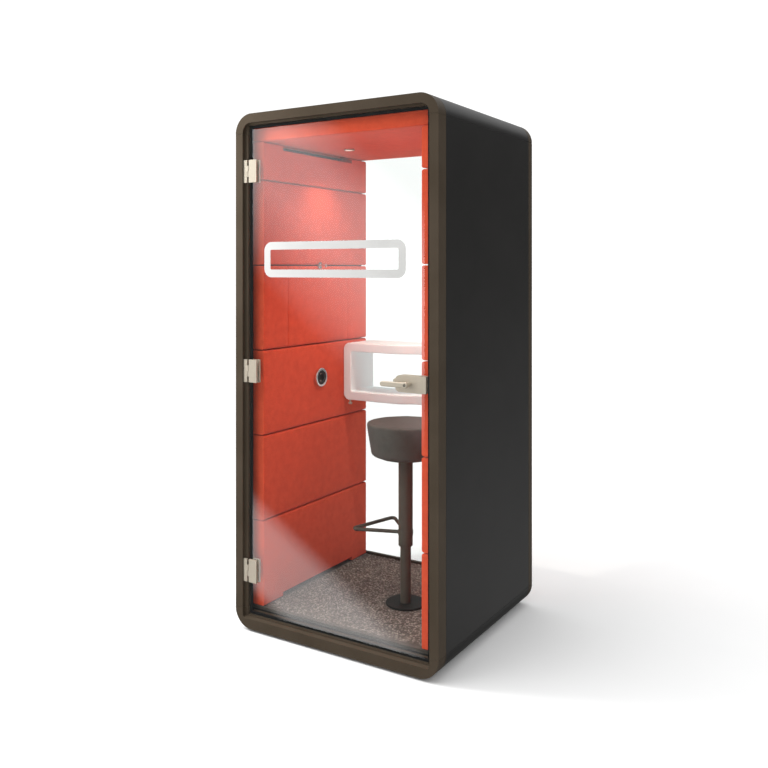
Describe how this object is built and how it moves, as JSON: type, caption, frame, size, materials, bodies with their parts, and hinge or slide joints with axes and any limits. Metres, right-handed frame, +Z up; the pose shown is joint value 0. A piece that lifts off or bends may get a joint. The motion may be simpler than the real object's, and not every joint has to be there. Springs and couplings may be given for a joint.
{
  "type": "acoustic office pod",
  "caption": "Free-standing acoustic phone booth with a hinged glass door, a rear window, upholstered walls, a looped table shelf and a swivelling stool of adjustable height.",
  "frame": {"origin": "on the floor, under the middle of the pod's box with the door shut", "axes": "+Z up; -Y is the front, with the glass door; +X is to the right of someone who faces the door"},
  "size_m": [1, 0.957, 2.23],
  "materials": {
    "frame_bronze": "satin bronze powder coat",
    "shell_dark": "satin dark grey laminate on board",
    "upholstery": "orange wool felt over acoustic foam",
    "carpet": "grey-brown loop pile",
    "glass": "clear toughened glass",
    "nickel": "satin nickel",
    "polished": "polished chrome",
    "black_metal": "matt black",
    "table_white": "white laminate",
    "stool_metal": "satin bronze paint",
    "stool_fabric": "grey-brown felt",
    "black_plastic": "matt black",
    "rubber": "black rubber"
  },
  "bodies": {
    "cabin": {"front_frame_top": "frame_bronze", "front_frame_bottom": "frame_bronze", "front_frame_left": "frame_bronze", "front_frame_right": "frame_bronze", "rear_frame_top": "frame_bronze", "rear_frame_bottom": "frame_bronze", "rear_frame_left": "frame_bronze", "rear_frame_right": "frame_bronze", "rear_glass": "glass", "base_tray": "shell_dark", "roof_panel": "shell_dark", "side_panel_left": "shell_dark", "side_panel_right": "shell_dark", "glide_front_left": "rubber", "glide_front_right": "rubber", "glide_rear_left": "rubber", "glide_rear_right": "rubber", "carpet": "carpet", "wall_right_1": "upholstery", "wall_right_2": "upholstery", "wall_right_3": "upholstery", "wall_right_4": "upholstery", "wall_right_5": "upholstery", "wall_right_6": "upholstery", "wall_left_1": "upholstery", "wall_left_2": "upholstery", "wall_left_3": "upholstery", "wall_left_4_front": "upholstery", "wall_left_4_insert": "upholstery", "wall_left_4_rear": "upholstery", "wall_left_5": "upholstery", "wall_left_6": "upholstery", "ceiling_panel": "upholstery", "ceiling_spot_left": "nickel", "ceiling_spot_right": "nickel", "fan_housing": "black_plastic", "hinge_leaf_lower": "nickel", "hinge_leaf_middle": "nickel", "hinge_leaf_upper": "nickel", "strike": "black_metal", "table_loop": "table_white", "bag_hook": "nickel", "coat_hook": "polished", "socket_ring": "polished", "socket_insert": "black_plastic", "stool_base": "stool_metal"},
    "door": {"door_glass": "glass", "hinge_clamp_lower": "nickel", "hinge_clamp_middle": "nickel", "hinge_clamp_upper": "nickel", "lock_case": "nickel"},
    "lever": {"lever_outside": "nickel", "lever_inside": "nickel"},
    "latch": {"latch_bolt": "nickel"},
    "fan": {"fan_rotor": "black_plastic"},
    "stool_column": {"stool_sleeve": "stool_metal", "stool_footrest": "stool_metal"},
    "seat": {"stool_seat_pan": "stool_metal", "stool_cushion": "stool_fabric"}
  },
  "joints": [
    {"name": "door_swing", "type": "hinge", "parent": "cabin", "child": "door", "pos_m": [-0.436, -0.4325, 1.12], "axis": [0, 0, -1], "range_deg": [0, 100]},
    {"name": "lever_turn", "type": "hinge", "parent": "door", "child": "lever", "pos_m": [0.372, -0.4215, 1.12], "axis": [0, -1, 0], "range_deg": [0, 40], "stiffness_Nm_per_rad": 1.2, "springref_deg": -34.38},
    {"name": "latch_slide", "type": "slide", "parent": "door", "child": "latch", "axis": [-1, 0, 0], "range_m": [0, 0.0101]},
    {"name": "fan_spin", "type": "hinge", "parent": "cabin", "child": "fan", "pos_m": [0, 0.0275, 2.187], "axis": [0, 0, 1], "continuous": true},
    {"name": "stool_lift", "type": "slide", "parent": "cabin", "child": "stool_column", "axis": [0, 0, 1], "range_m": [-0.15, 0.05]},
    {"name": "seat_swivel", "type": "hinge", "parent": "stool_column", "child": "seat", "pos_m": [0.114, -0.0265, 0.74], "axis": [0, 0, 1], "continuous": true}
  ],
  "couplings": [
    {"joint": "latch_slide", "follows": "lever_turn", "m_per_rad": 0.01432}
  ]
}
